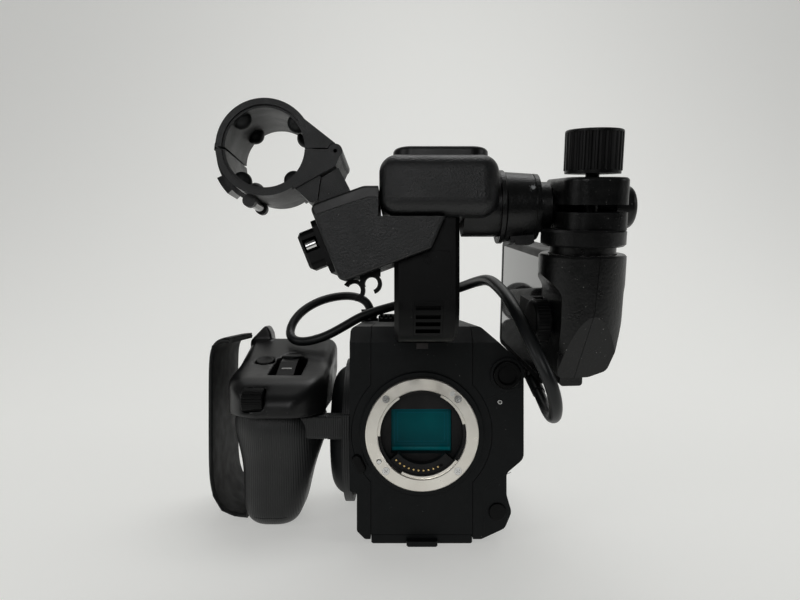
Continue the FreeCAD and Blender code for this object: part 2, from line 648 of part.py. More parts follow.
def audio_body(lid):
    """The box under the nose, or the lid strip along its top."""
    whole = slab(AUDIO_OUTLINE, "y", AUDIO_FRONT, AUDIO_BACK)
    whole = whole.makeFillet(1.2, edges_at(whole, "y", AUDIO_FRONT))
    step = 0.2 if lid else 0.0
    seam = [(x, z + step) for x, z in AUDIO_SEAM]
    top = slab(seam + [(20, 200), (-60, 200)], "y", AUDIO_FRONT - 1, AUDIO_BACK + 1)
    piece = whole.common(top) if lid else whole.cut(top)
    nose_room = box(NOSE_LEFT - GAP, 40, AUDIO_FRONT - 3, AUDIO_BACK + 2, HANDLE_LOW - GAP, 210)
    post_room = box(-POST_HALF - GAP, 40, POST_FRONT, AUDIO_BACK + 2, 140, 190)
    return piece.cut([nose_room, post_room])


def end_frame(shape):
    """Places a shape drawn about the origin, facing +X, on the audio box's slanted end."""
    return moved(turned(shape, "y", -AUDIO_OUT), AUDIO_END[0], -116, AUDIO_END[1])


def xlr_box():
    well = end_frame(disc("x", SOCKET_Y, 0, SOCKET_OUTER + 0.3, -12, 3))
    return audio_body(False).cut(well)


def xlr_connector():
    """A round microphone socket with the housing of its release tab beside it."""
    flange = rounded_box(0.2, 2.6, -18, 18, -12.5, 12.5, 4, "x")
    shell = tube("x", SOCKET_Y, 0, SOCKET_OUTER, SOCKET_R, -11.5, 1)
    floor = disc("x", SOCKET_Y, 0, SOCKET_R + 0.1, -11.5, -SOCKET_DEPTH)
    lip = disc("x", SOCKET_Y, 0, SOCKET_OUTER, 2.4, 4.2)
    pins = []
    for angle in (30, 150, 270):
        turn = math.radians(angle)
        at = (SOCKET_Y + 3.6 * math.cos(turn), 3.6 * math.sin(turn))
        pins.append(disc("x", at[0], at[1], 1.1, -SOCKET_DEPTH - 0.5, -4.0))
    collar = rounded_box(2.4, 10.4, -18, -5, -9.4, 8.4, 3, "x")
    collar = collar.makeChamfer(1.4, edges_at(collar, "x", 10.4))
    mouth = disc("x", SOCKET_Y, 0, SOCKET_R, -SOCKET_DEPTH, 12)
    tab_room = disc("x", TAB_Y, TAB_Z, TAB_R + GAP, 2.7, 9.2)
    window = box(2.7, 9.2, -19, TAB_Y, TAB_Z - TAB_R - GAP, TAB_Z + TAB_R + GAP)
    body = join(flange, collar, lip).cut([mouth, tab_room, window])
    return end_frame(join(body, shell, floor, *pins))


def xlr_release_tab():
    tab = disc("x", TAB_Y, TAB_Z, TAB_R, 3.8, 8.9)
    return end_frame(tab.makeChamfer(0.5, edges_at(tab, "x", 8.9)))


def cable_clip():
    """Two open hooks under the audio box."""
    right = sector(-25.1, 142.4, 4.8, 3.0, -70, 200, -128, -121)
    left = sector(-33.0, 139.3, 5.0, 3.2, -80, 150, -128, -121)
    stem = rounded_box(-30.2, -27.4, -128, -121, 141, 146.6, 0.6)
    root = rounded_box(-30.6, -21, -128, -121, 145.6, 150, 0.6)
    room = slab(inset(AUDIO_OUTLINE, -0.02), "y", -130, -119)
    hollows = [disc("y", -25.1, 142.4, 3.0, -130, -119), disc("y", -33.0, 139.3, 3.2, -130, -119)]
    return join(right, left, stem.fuse(root).cut(hollows)).cut(room)


# ---- microphone holder --------------------------------------------------------------------------

LATCH_ANGLE, LATCH_PIN = 250, 1.0
LATCH_PIVOT = on_circle(MIC_OUTER + 2.6, LATCH_ANGLE, MIC_X, MIC_Z)

FOOT_OUTLINE = [(-47.6, 190.3), (-40.0, 194.9), (-34.9, 185.4, 1), (-37.6, 181.4), (-45.6, 178.4),
                (-49.5, 177)]


def mic_half(upper):
    """One half of the clamp ring, with the wedge that reaches to the hinge."""
    ring = tube("y", MIC_X, MIC_Z, MIC_OUTER, MIC_INNER, MIC_FRONT, MIC_BACK)
    step = disc("y", MIC_X, MIC_Z, MIC_INNER + 1.2, MIC_FRONT - 1, MIC_FRONT + 1.2)
    ring = ring.cut(step)
    if upper:
        wedge = [(-66, 218), (-61.6, 221.6), (-39.6, 204.3), (-41.2, 203.4), (-56, 203.4)]
        keep = box(-100, -30, MIC_FRONT, MIC_BACK, MIC_Z + 0.2, 240)
    else:
        wedge = [(-41.2, 202.8), (-39.0, 200.0), (-41.0, 195.4), (-60.5, 184.6), (-56, 202.8)]
        keep = box(-100, -30, MIC_FRONT, MIC_BACK, 170, MIC_Z - 0.9)
    arm = slab(wedge, "y", MIC_FRONT, MIC_BACK)
    arm = arm.cut([disc("y", MIC_X, MIC_Z, MIC_INNER, MIC_FRONT - 1, MIC_BACK + 1), step])
    arm = arm.common(keep.fuse(box(-56.2, -30, MIC_FRONT, MIC_BACK, 170, 240)))
    return ring.common(keep).fuse(arm)


def knuckles(upper):
    """The hinge's barrels: the upper half has the middle one, the lower half the outer two."""
    spans = [(MIC_FRONT + 12.2, MIC_BACK - 12.2)] if upper else [
        (MIC_FRONT, MIC_FRONT + 12), (MIC_BACK - 12, MIC_BACK)]
    return [(disc("y", HINGE_X, HINGE_Z, HINGE_R, a, b), (a, b)) for a, b in spans]


def mic_clamp_half(upper):
    half = mic_half(upper)
    other = [span for _, span in knuckles(not upper)]
    room = [disc("y", HINGE_X, HINGE_Z, HINGE_R + 0.3, a - 0.2, b + 0.2) for a, b in other]
    half = half.cut(room)
    half = join(half, *[barrel for barrel, _ in knuckles(upper)])
    half = half.cut(room)
    return half.cut(disc("y", HINGE_X, HINGE_Z, HINGE_PIN_R + 0.04, MIC_FRONT - 1, MIC_BACK + 1))


def mic_holder_hinge_pin():
    rod = disc("y", HINGE_X, HINGE_Z, HINGE_PIN_R, MIC_FRONT, MIC_BACK)
    return rod.cut(disc("y", HINGE_X, HINGE_Z, 0.9, MIC_FRONT - 1, MIC_BACK + 1))


def mic_holder_base():
    """The lower half, with the ears that carry the latch and a strut down to the foot."""
    base = mic_clamp_half(False)
    strut = slab([(-59.4, 185.4), (-48.4, 192.0), (-45.6, 182.0, 2), (-52.3, 178.6, 2)], "y",
                 MIC_FRONT + 1, MIC_BACK - 1)
    strut = strut.cut(disc("y", MIC_X, MIC_Z, MIC_OUTER - 1, MIC_FRONT - 1, MIC_BACK + 1))
    foot_room = slab(inset(FOOT_OUTLINE, -GAP), "y", MIC_FRONT - 1, MIC_BACK + 1)
    strut = strut.cut(foot_room)
    ears = []
    for low, high in ((MIC_FRONT + 6, MIC_FRONT + 9.7), (MIC_BACK - 9.7, MIC_BACK - 6)):
        ears.append(disc("y", *LATCH_PIVOT, 3.0, low, high))
    latch_pin = disc("y", *LATCH_PIVOT, LATCH_PIN, MIC_FRONT + 6, MIC_BACK - 6)
    sweep = disc("y", *LATCH_PIVOT, 2.4, MIC_FRONT + 9.7, MIC_BACK - 9.7)
    bore = disc("y", MIC_X, MIC_Z, MIC_INNER, MIC_FRONT - 1, MIC_BACK + 1)
    return join(join(base, strut, *ears).cut([sweep, bore]), latch_pin)


def mic_holder_foot():
    foot = slab(FOOT_OUTLINE, "y", MIC_FRONT + 2, MIC_BACK - 2)
    lid_room = slab(inset(AUDIO_OUTLINE, -0.02), "y", MIC_FRONT - 10, MIC_BACK + 10)
    return foot.cut(lid_room)


def mic_pads(angles):
    """Rubber domes on the inside of the ring, in two rows."""
    pads = []
    for y in (MIC_FRONT + 7, MIC_BACK - 7):
        for angle in angles:
            x, z = on_circle(MIC_INNER + 0.6, angle, MIC_X, MIC_Z)
            ball = Part.makeSphere(PAD_R, vec(x, y, z))
            bore = disc("y", MIC_X, MIC_Z, MIC_INNER, MIC_FRONT, MIC_BACK)
            pads.append(ball.common(bore))
    return Part.makeCompound(pads)


def mic_holder_latch():
    """A curved lever that folds over the ring's joint, hinged low on the outside."""
    low, high = MIC_FRONT + 10, MIC_BACK - 10
    strap = sector(MIC_X, MIC_Z, MIC_OUTER + 2.6, MIC_OUTER + GAP, 172, LATCH_ANGLE, low, high)
    tip = sector(MIC_X, MIC_Z, MIC_OUTER + 3.6, MIC_OUTER + GAP + 0.2, 170, 178, low, high)
    lip = sector(MIC_X, MIC_Z, MIC_OUTER + 5.4, MIC_OUTER + 1.6, 205, 224, low + 2, high - 2)
    barrel = disc("y", *LATCH_PIVOT, 2.1, low, high)
    pin_bore = disc("y", *LATCH_PIVOT, LATCH_PIN + 0.05, low - 1, high + 1)
    return join(strap, tip, lip, barrel).cut(pin_bore)


# ---- screen bracket -----------------------------------------------------------------------------

def leaned(shape):
    """From the bracket's own frame, about the rod, to where it stands."""
    return moved(turned(shape, "x", LEAN), 0, ROD_Y, ROD_Z)


def swung(shape):
    """From the screen's own frame to where it stands: swung about the swivel, then leaned."""
    return leaned(turned(shape, "z", SWING, SWIVEL_X, SWIVEL_Y, 0))


def rod_sleeve():
    housing = disc("x", ROD_Y, ROD_Z, 14.0, 17.2, 34.2)
    rim = disc("x", ROD_Y, ROD_Z, 17.2, 34.0, 36.6)
    rim = rim.makeChamfer(0.8, edges_at(rim, "x", 36.6))
    barrel = cone("x", ROD_Y, ROD_Z, 16.4, 15.4, 36.2, 52)
    neck = disc("x", ROD_Y, ROD_Z, 11.8, 51.5, 58.4)
    neck = neck.makeChamfer(1.0, edges_at(neck, "x", 58.4))
    groove = tube("x", ROD_Y, ROD_Z, 18, 14.9, 49.4, 49.9)
    bore = disc("x", ROD_Y, ROD_Z, ROD_R + 0.06, 18.2, 60)
    lever_room = box(38.6, 50.4, ROD_Y - 7.3, ROD_Y + 7.3, ROD_Z - 18, ROD_Z - 12.9)
    return join(housing, rim, barrel, neck).cut([groove, bore, lever_room])


def rod_lock_lever():
    """A flat lever in the sleeve's underside that clamps the rod, turning about its rear end."""
    middle = ROD_Z - 15.4
    blade = join(box(39, 50, ROD_Y - 7, LEVER_PIVOT_Y, middle - 2.19, middle + 2.19),
                 disc("x", LEVER_PIVOT_Y, middle, 2.19, 39, 50))
    lip = rounded_box(40.5, 48.5, ROD_Y - 9.4, ROD_Y - 6, ROD_Z - 18.4, ROD_Z - 16.6, 0.5, "y")
    return join(blade, lip)


def lcd_rod():
    rod = disc("x", ROD_Y, ROD_Z, ROD_R, 20, 88)
    cap = disc("x", ROD_Y, ROD_Z, 10.2, 87.4, 97.6)
    cap = cap.makeFillet(3.2, edges_at(cap, "x", 97.6))
    return join(rod, cap)


def pivot_block():
    """The clamp on the rod, split by a slit, with the swivel's flange under it."""
    plan = [(59, 11, 3), (87, 11, 3), (87, -32, 9), (59, -32, 9)]
    block = slab(plan, "z", -9.4, 13.2)
    block = block.makeFillet(1.6, edges_at(block, "z", 13.2))
    flange = disc("z", SWIVEL_X, SWIVEL_Y, 18.6, -16.6, -9.3)
    flange = flange.makeChamfer(0.9, edges_at(flange, "z", -9.3) + edges_at(flange, "z", -16.6))
    flange = flange.cut(disc("x", 0, 0, 12.2, 50, 58.8))
    thread = disc("z", SWIVEL_X, SWIVEL_Y, 14.6, -20.1, -16.4)
    bore = disc("x", 0, 0, ROD_R + 0.06, 50, 95)
    slit = box(50, 95, -40, 0, -1.7, 1.5)
    stud_hole = disc("z", KNOB_X, SWIVEL_Y, 3.1, -6.4, 20)
    whole = join(block, flange, thread).cut([bore, slit, stud_hole])
    return leaned(whole)


def clamp_knob():
    knob = disc("z", KNOB_X, SWIVEL_Y, KNOB_R, 16.2, 33.6)
    knob = knob.makeFillet(0.9, edges_at(knob, "z", 33.6))
    knob = fluted(knob, "z", KNOB_X, SWIVEL_Y, KNOB_R + 0.35, 1.0, 30, 16, 32.4)
    skirt = disc("z", KNOB_X, SWIVEL_Y, KNOB_R - 0.4, 14.9, 16.4)
    stud = disc("z", KNOB_X, SWIVEL_Y, 3.0, -6.0, 15)
    return leaned(join(knob, skirt, stud))


ARM_OUTLINE = [          # X and Z, Z counted from the rod
    (51.1, -20.3), (89.3, -20.3), (89.3, -30.5, 3), (85.6, -36, 6), (85.0, -50, 20),
    (79.0, -71.5, 4), (71.0, -74.6, 8), (57.0, -74.6, 2.5), (56.4, -69, 8), (57.2, -50, 20),
    (57.0, -36.5, 8), (51.1, -29.6, 3),
]
ARM_SEAM = [(70.9, -15), (70.9, -22), (69.7, -44), (64.3, -76), (64.3, -90)]


def arm_solid():
    """The whole arm, in the screen's own frame."""
    outline = slab(ARM_OUTLINE, "y", SWIVEL_Y - 20, SWIVEL_Y + 20)
    column = disc("z", SWIVEL_X, SWIVEL_Y, 19.1, -80, -20.3)
    column = column.makeChamfer(0.8, edges_at(column, "z", -20.3))
    back = box(40, 100, -4, 10, -90, -33)
    facet = slab([(SWIVEL_Y - 20, -42), (SWIVEL_Y - 11.5, -80), (SWIVEL_Y - 30, -80),
                  (SWIVEL_Y - 30, -42)], "x", 40, 100)
    thread_room = disc("z", SWIVEL_X, SWIVEL_Y, 15.0, -21.2, -19)
    shaft_room = disc("x", HUB_Y, HUB_Z, 5.05, 50, 77)
    return outline.common(column).cut([back, facet, thread_room, shaft_room])


def lcd_arm(left):
    gap = 0.0 if left else 0.2
    seam = [(x + gap, z) for x, z in ARM_SEAM]
    region = slab([(30, -15)] + seam + [(30, -90)], "y", -60, 20)
    if not left:
        return swung(arm_solid().cut(region))
    foot = rounded_box(61, 71.5, -22, -8, -81, -74.8, 1.5)
    joint = box(60.5, 64, -22, -8, -76, -74)
    return swung(join(arm_solid().common(region), joint.common(region), foot))


def screen_slab(low, high):
    points = [(SCREEN_NEAR, SCREEN_LOW, 5), (SCREEN_FAR, SCREEN_LOW, 5),
              (SCREEN_FAR, SCREEN_HIGH, 5), (SCREEN_NEAR, SCREEN_HIGH, 5)]
    return slab(points, "x", low, high)


def lcd_bezel():
    frame = screen_slab(SCREEN_FACE, SCREEN_FACE + 8.4)
    frame = frame.makeChamfer(0.7, edges_at(frame, "x", SCREEN_FACE))
    pocket = rounded_box(SCREEN_FACE - 1, SCREEN_FACE + 1.9, SCREEN_NEAR + 6, SCREEN_FAR - 4,
                         SCREEN_LOW + 4, SCREEN_HIGH - 4, 1.5, "x")
    hub = disc("x", HUB_Y, HUB_Z, HUB_R, 48.6, 55.4)
    hub = hub.makeFillet(1.2, edges_at(hub, "x", 48.6))
    hub = fluted(hub, "x", HUB_Y, HUB_Z, HUB_R + 0.2, 0.5, 36, 49.6, 56)
    shaft = disc("x", HUB_Y, HUB_Z, 5.0, 54, 76.5)
    lug = rounded_box(51, 55.4, HUB_Y, SCREEN_NEAR + 5, HUB_Z - 7.5, HUB_Z + 7.5, 2, "x")
    bridge = box(53.5, SCREEN_FACE + 0.5, SCREEN_NEAR + 1, SCREEN_NEAR + 5, HUB_Z - 7, HUB_Z + 7)
    return swung(join(frame.cut(pocket), hub, shaft, lug, bridge))


def lcd_screen():
    glass = rounded_box(SCREEN_FACE + 0.2, SCREEN_FACE + 1.9, SCREEN_NEAR + 6.1, SCREEN_FAR - 4.1,
                        SCREEN_LOW + 4.1, SCREEN_HIGH - 4.1, 1.4, "x")
    return swung(glass)


def lcd_back_cover():
    cover = screen_slab(SCREEN_FACE + 8.6, SCREEN_BACK)
    return swung(cover.makeFillet(3, edges_at(cover, "x", SCREEN_BACK)))


# ---- side grip ----------------------------------------------------------------------------------

def grip_mount_hub():
    """The domed boss on the camera's right side that the grip turns on."""
    boss = disc("x", GRIP_AXIS_Y, GRIP_AXIS_Z, GRIP_HUB_R, -55, -40.2)
    return boss.makeFillet(12, edges_at(boss, "x", -55))


def grip_shell():
    """The hand piece, with the ring that turns on the hub and the arm between them."""
    wires = []
    for z, x0, x1, y0, y1, r in GRIP_SECTIONS:
        wires.append(rounded_wire([(x0, y0, r), (x1, y0, r), (x1, y1, r), (x0, y1, r)], "z", z))
    hand = Part.makeLoft(wires, True, False)
    low, high = -46.4, -41.4
    ring = tube("x", GRIP_AXIS_Y, GRIP_AXIS_Z, 46, GRIP_HUB_R + 0.06, low, high)
    arm = rounded_box(-72, low + 0.2, -48, -30, 53.5, 67.4, 2, "x")
    bridge = box(low - 8, high - 0.4, -47.6, -38, 53.5, 67.4)
    keep_out = disc("x", GRIP_AXIS_Y, GRIP_AXIS_Z, GRIP_HUB_R + 0.06, -57, -40)
    seam = box(-120, -60, -60, 20, 6.6, 6.9).cut(box(-102.8, -74, -44.5, -6.5, 6, 7.5))
    rim_room = box(-130, -50, -70, 40, 67.6, 80)
    body = hand.fuse([arm, bridge]).cut([keep_out, seam, rim_room])
    return join(body, ring)


HEAD_PROFILE = [         # Y, Z, corner radius: the head seen from the side
    (-60.5, 67.8), (-60.5, 78, 10), (-48, 88.5, 22), (-14, 95.8, 40), (20, 108.6, 6), (33, 104, 8),
    (33, 67.8),
]
HEAD_ROUNDING = 7.0


def head_solid():
    """The head's outer form: its side view and plan in common, with soft edges at the sides."""
    profile = slab(HEAD_PROFILE, "x", -125, -50)
    plan = slab([(GRIP_LEFT, -62, 30), (GRIP_RIGHT, -62, 27), (GRIP_RIGHT, 34, 12),
                 (GRIP_LEFT, 34, 10)], "z", 60, 130)
    head = profile.common(plan)
    rim = []
    for edge in head.Edges:
        b = edge.BoundBox
        if b.ZMin > 70 and b.XLength < 40 and b.YLength > 0.5 and b.ZLength > 0.01:
            rim.append(edge)
    return head.makeFillet(HEAD_ROUNDING, rim)


def grip_head():
    """The grip's upper part with its controls' wells and the thumb fin at the rear."""
    head = head_solid()
    fin = slab([(-115.4, 98), (-115.4, 107, 3), (-104.5, 118.4, 2), (-101.0, 112, 3), (-100.0, 98)],
               "y", 16, 30)
    shoulder = slab([(-58, 90), (-58, 103, 5), (-72, 112, 4), (-82, 100)], "y", 18, 30)
    wells = [grip_button_solid(0.3, -3.4, 6), zoom_lever_room(), grip_dial_room()]
    hub_room = disc("x", GRIP_AXIS_Y, GRIP_AXIS_Z, GRIP_HUB_R + 0.5, -57, -40)
    return join(head, fin, shoulder).cut(wells + [hub_room])


BUTTON_X, BUTTON_Y, BUTTON_R = -98.5, -14.0, 5.8
HEAD_SLOPE = 20.6        # degrees that the head's top rises towards the rear


def on_slope(shape, x, y):
    """Stands a shape drawn at the origin, facing up, on the head's sloping top."""
    z = 95.8 + (y + 14) * math.tan(math.radians(HEAD_SLOPE))
    return moved(turned(shape, "x", HEAD_SLOPE), x, y, z)


def grip_button_solid(grow, low, high):
    return on_slope(disc("z", 0, 0, BUTTON_R + grow, low, high), BUTTON_X, BUTTON_Y)


def grip_assign_button():
    button = disc("z", 0, 0, BUTTON_R, -2.2, 1.2)
    button = button.makeFillet(0.8, edges_at(button, "z", 1.2))
    dish = Part.makeSphere(16, vec(0, 0, 16.6))
    return on_slope(button.cut(dish), BUTTON_X, BUTTON_Y)


LEVER_X, LEVER_Y, LEVER_HALF = -81.5, -10.0, 5.2


def zoom_lever_room():
    """Room for the lever's hub and for its finger step swinging either way, open to the front."""
    hub_room = disc("z", LEVER_X, LEVER_Y, 7.4, 82, 130)
    finger_room = slab([(LEVER_Y + 1, 88.2), (LEVER_Y - 30, 80.6), (LEVER_Y - 60, 80.6),
                        (LEVER_Y - 60, 130), (LEVER_Y + 1, 130)], "x", LEVER_X - 9.6, LEVER_X + 9.6)
    front = box(LEVER_X - 20, LEVER_X + 20, LEVER_Y - 80, LEVER_Y - 29.5, 70, 140)
    return hub_room.fuse(finger_room.cut(front))


def grip_zoom_lever():
    """A thumb lever turning on an upright pin, sloping down to a finger step at its front."""
    hub = disc("z", LEVER_X, LEVER_Y, 7.0, 82.4, 99.4)
    hub = hub.makeFillet(1.5, edges_at(hub, "z", 99.4))
    side = [(LEVER_Y + 3, 99.0, 1), (LEVER_Y - 12, 96.6, 6), (LEVER_Y - 20, 93.0, 1.2),
            (LEVER_Y - 27.5, 89.6, 1.2), (LEVER_Y - 27.5, 83.0, 1), (LEVER_Y - 20, 86.6, 2),
            (LEVER_Y + 3, 90.0)]
    return join(hub, slab(side, "x", LEVER_X - LEVER_HALF, LEVER_X + LEVER_HALF))


WHEEL_X, WHEEL_Y, WHEEL_Z, WHEEL_R = -95.7, -55.5, 78.0, 6.6


def grip_dial_room():
    return disc("x", WHEEL_Y, WHEEL_Z, WHEEL_R + 0.5, WHEEL_X - 6.4, WHEEL_X + 6.4)


def grip_dial():
    wheel = disc("x", WHEEL_Y, WHEEL_Z, WHEEL_R, WHEEL_X - 6, WHEEL_X + 6)
    wheel = wheel.makeChamfer(0.5, edges_at(wheel, "x", WHEEL_X - 6) + edges_at(wheel, "x", WHEEL_X + 6))
    return fluted(wheel, "x", WHEEL_Y, WHEEL_Z, WHEEL_R + 0.2, 0.55, 28, WHEEL_X - 7, WHEEL_X + 7)


def hand_strap():
    """A padded band from the top of the grip's outer side, out over the hand and back at the foot."""
    outer = [(-117.0, 112.5, 3), (-124.0, 112.5, 4), (-129.0, 92, 30), (-129.0, 26, 30),
             (-119.0, 3.0, 12), (-105.0, 2.4), (-105.0, 6.0), (-116.4, 6.6, 10), (-124.5, 27, 28),
             (-124.5, 90, 28), (-121.4, 106.5, 3), (-115.8, 106.5)]
    return slab(outer, "y", -33, 26)


# ---- screen cable -------------------------------------------------------------------------------

def cable_path(points):
    """Straight runs joined by tangent arcs, each as large as its two runs allow."""
    nodes = [vec(*p) for p in points]
    edges, start, radii = [], nodes[0], []
    for i in range(1, len(nodes) - 1):
        back = nodes[i - 1] - nodes[i]
        ahead = nodes[i + 1] - nodes[i]
        reach = 0.45 * min(back.Length, ahead.Length)
        back, ahead = back.normalize(), ahead.normalize()
        half = back.getAngle(ahead) / 2
        radius = reach * math.tan(half)
        radii.append(radius)
        bisector = (back + ahead).normalize()
        middle = nodes[i] + bisector * (radius / math.sin(half) - radius)
        enter, leave = nodes[i] + back * reach, nodes[i] + ahead * reach
        edges.append(Part.LineSegment(start, enter).toShape())
        edges.append(Part.Arc(enter, middle, leave).toShape())
        start = leave
    edges.append(Part.LineSegment(start, nodes[-1]).toShape())
    return edges, radii


def lcd_cable():
    edges, radii = cable_path(CABLE_ROUTE)
    path = Part.Wire(edges)
    start = vec(*CABLE_ROUTE[0])
    along = (vec(*CABLE_ROUTE[1]) - start).normalize()
    ring = Part.Wire(Part.Circle(start, along, CABLE_R).toShape())
    solid = path.makePipeShell([ring], True, True)
    length = sum(edge.Length for edge in edges)
    want = math.pi * CABLE_R ** 2 * length
    print("cable radii", [round(r, 1) for r in radii])
    print("cable length", round(length, 1), "volume ratio", round(solid.Volume / want, 4))
    return solid


def boot(start, end, r_start, r_end):
    """A tapering strain relief between two points."""
    along = end - start
    return Part.makeCone(r_start, r_end, along.Length, start, along)


def cable_plugs():
    """The plug on the body's top and the one under the screen, with their strain reliefs."""
    x, y, z = CABLE_ROUTE[0]
    flange = disc("z", x, y, 5.2, BODY_TOP + 0.05, BODY_TOP + 1.8)
    stem = disc("z", x, y, 4.2, BODY_TOP + 1.5, BODY_TOP + 3.2)
    first, last = vec(x, y, z), vec(*CABLE_ROUTE[-1])
    along = (vec(*CABLE_ROUTE[1]) - first).normalize()
    upper = join(flange, stem, boot(first - along * 3.4, first, 4.1, 3.4))
    along = (last - vec(*CABLE_ROUTE[-2])).normalize()
    seat = swung(rounded_box(62.4, 71.4, 36, 47, SCREEN_LOW - 5.2, SCREEN_LOW - 0.05, 1.5, "z"))
    lower = join(seat, boot(last + along * 16.0, last, 3.8, 3.5))
    return Part.makeCompound([upper, lower])


# ---- write the parts ----------------------------------------------------------------------------

def build():
    shell = body_shell()
    return {
        "chassis": chassis(), "front_cover": front_cover(shell), "left_cover": left_cover(shell),
        "right_cover": right_cover(shell), "top_cover": top_cover(shell),
        "rear_cover": rear_cover(shell), "base_plate": base_plate(),
        "tally_window": tally_window(), "lens_mount_ring": lens_mount_ring(),
        "lens_mount_screws": lens_mount_screws(), "mount_chamber": mount_chamber(),
        "image_sensor": image_sensor(), "sensor_glass": sensor_glass(),
        "contact_pins": contact_pins(), "lens_lock_pin": lens_lock_pin(),
        "lens_release_button": lens_release_button(),
        "white_balance_button": white_balance_button(), "nd_filter_dial": nd_filter_dial(),
        "battery_pack": battery_pack(), "card_door": card_door(),
        "viewfinder_tube": viewfinder_tube(), "viewfinder_eyecup": viewfinder_eyecup(),
        "handle_post": handle_post(), "mic_grille": mic_grille(), "handle_grip": handle_grip(),
        "handle_nose_cap": handle_nose_cap(), "handle_rec_button": handle_rec_button(),
        "handle_zoom_rocker": handle_zoom_rocker(), "accessory_shoe": accessory_shoe(),
        "xlr_box": xlr_box(), "xlr_box_lid": audio_body(True), "xlr_connector": xlr_connector(),
        "xlr_release_tab": xlr_release_tab(), "cable_clip": cable_clip(),
        "mic_holder_foot": mic_holder_foot(), "mic_holder_base": mic_holder_base(),
        "mic_holder_cap": mic_clamp_half(True), "mic_holder_hinge_pin": mic_holder_hinge_pin(),
        "mic_holder_latch": mic_holder_latch(), "mic_pads_upper": mic_pads(PAD_ANGLES_UP),
        "mic_pads_lower": mic_pads(PAD_ANGLES_DOWN), "rod_sleeve": rod_sleeve(),
        "rod_lock_lever": rod_lock_lever(), "lcd_rod": lcd_rod(), "pivot_block": pivot_block(),
        "clamp_knob": clamp_knob(), "lcd_arm_left": lcd_arm(True),
        "lcd_arm_right": lcd_arm(False), "lcd_bezel": lcd_bezel(), "lcd_screen": lcd_screen(),
        "lcd_back_cover": lcd_back_cover(), "grip_mount_hub": grip_mount_hub(),
        "grip_shell": grip_shell(), "grip_head": grip_head(),
        "grip_assign_button": grip_assign_button(), "grip_zoom_lever": grip_zoom_lever(),
        "grip_dial": grip_dial(), "hand_strap": hand_strap(), "lcd_cable": lcd_cable(),
        "cable_plugs": cable_plugs(),
    }


def main():
    os.makedirs("parts", exist_ok=True)
    for name, shape in build().items():
        if not shape.isValid() or not shape.Solids:
            raise ValueError(f"{name} isn't a valid solid")
        shape.exportStep(f"parts/{name}.step")
        print(name, len(shape.Solids), round(shape.Volume / 1000, 2), "cm3")


main()
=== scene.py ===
"""Looks for the cinema camera rig: materials, small details, cable, strap, light and camera."""

import math

import bpy
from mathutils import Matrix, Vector


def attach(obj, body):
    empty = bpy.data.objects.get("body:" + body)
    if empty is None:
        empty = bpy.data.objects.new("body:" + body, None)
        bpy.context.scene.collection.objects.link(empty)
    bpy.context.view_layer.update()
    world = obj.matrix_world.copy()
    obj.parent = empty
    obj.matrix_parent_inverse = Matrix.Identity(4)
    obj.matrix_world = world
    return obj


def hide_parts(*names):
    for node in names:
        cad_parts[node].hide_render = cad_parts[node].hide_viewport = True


MM = 0.001

# ---- driving dimensions, in millimetres of the row frame ------------------------------------------

EYE = (-12.07, -399.0, 135.0)          # where the camera stands
FOCAL_LENGTH = 27.045                  # mm on a sensor 36 mm wide
LENS_Z = 61.0
MOUNT_FACE = -70.0
FRONT = -66.0
CABLE_R = 3.0
CABLE_ROUTE = [
    (-33, 38, 125.5), (-34.5, 38.2, 131.5), (-40, 38.8, 136.3), (-49, 39, 138.3),
    (-60.5, 37, 137.2), (-72, 32.5, 133.5), (-81.5, 25.5, 127), (-86.5, 18, 119.5),
    (-87.5, 11.5, 112.5), (-84.5, 6, 108.5), (-78.8, 2.5, 107), (-71, 1.5, 107.8),
    (-61, 2.5, 111), (-50, 4, 117), (-38, 4.5, 124.2), (-22, 4, 129.5), (-3, 1, 134),
    (14, -8, 139), (26, -24, 143), (33, -46, 146), (37, -69, 146.5), (39.5, -92, 140.5),
    (41, -110, 134.5), (43, -125, 126), (46.5, -136, 114), (51.8, -140.5, 102),
    (55.8, -137.5, 91), (58, -128.5, 83), (60, -114.5, 79.3), (61.8, -98.5, 79),
    (62.8, -86, 81), (62.6, -75.5, 85.2),
]

RIB_PITCH = 1.3                        # between the ribs of the hand piece
CHIP, CHIP_R = (48.1, -128.0, 185.8), 1.3
STRAP_LINE = [                         # X and Z along the middle of the hand strap
    (-116.5, 109.2), (-121.5, 109.6), (-125.6, 106.5), (-126.8, 98.0), (-126.9, 80.0),
    (-126.9, 50.0), (-126.8, 28.0), (-125.0, 16.0), (-120.0, 7.5), (-112.5, 4.4), (-105.5, 4.2),
]
STRAP_FRONT, STRAP_REAR = -33.0, 26.0
FACE_SEAMS = [                         # X and Z along the panel seams drawn on the front
    [(36.3, 80.0), (42.0, 82.4), (49.9, 85.1), (56.0, 86.4)],
    [(34.5, 3.2), (34.5, 26.5), (35.4, 30.6), (38.5, 34.2), (44.0, 37.0), (49.5, 39.6)],
]
INDEX_CIRCLE, INDEX_ANGLE, INDEX_R = 28.1, 53.7, 1.35
GLASS_FRONT = -54.0
LINE_HALF = 0.22                       # half width of the outlines on the sensor
SENSOR_FOOT = (16.6, -11.9, -10.2)     # half width, foot and top of the bright strip
SENSOR_OUTLINES = [(13.4, -7.0, 9.6), (15.4, -8.6, 11.2)]       # half width, foot and top
SCREWS = [                             # centre and the way the head faces
    ((43.3, -66.1, 78.5), (0, -1, 0)), ((-0.7, -56.4, 46.9), (0, -1, 0)),
]

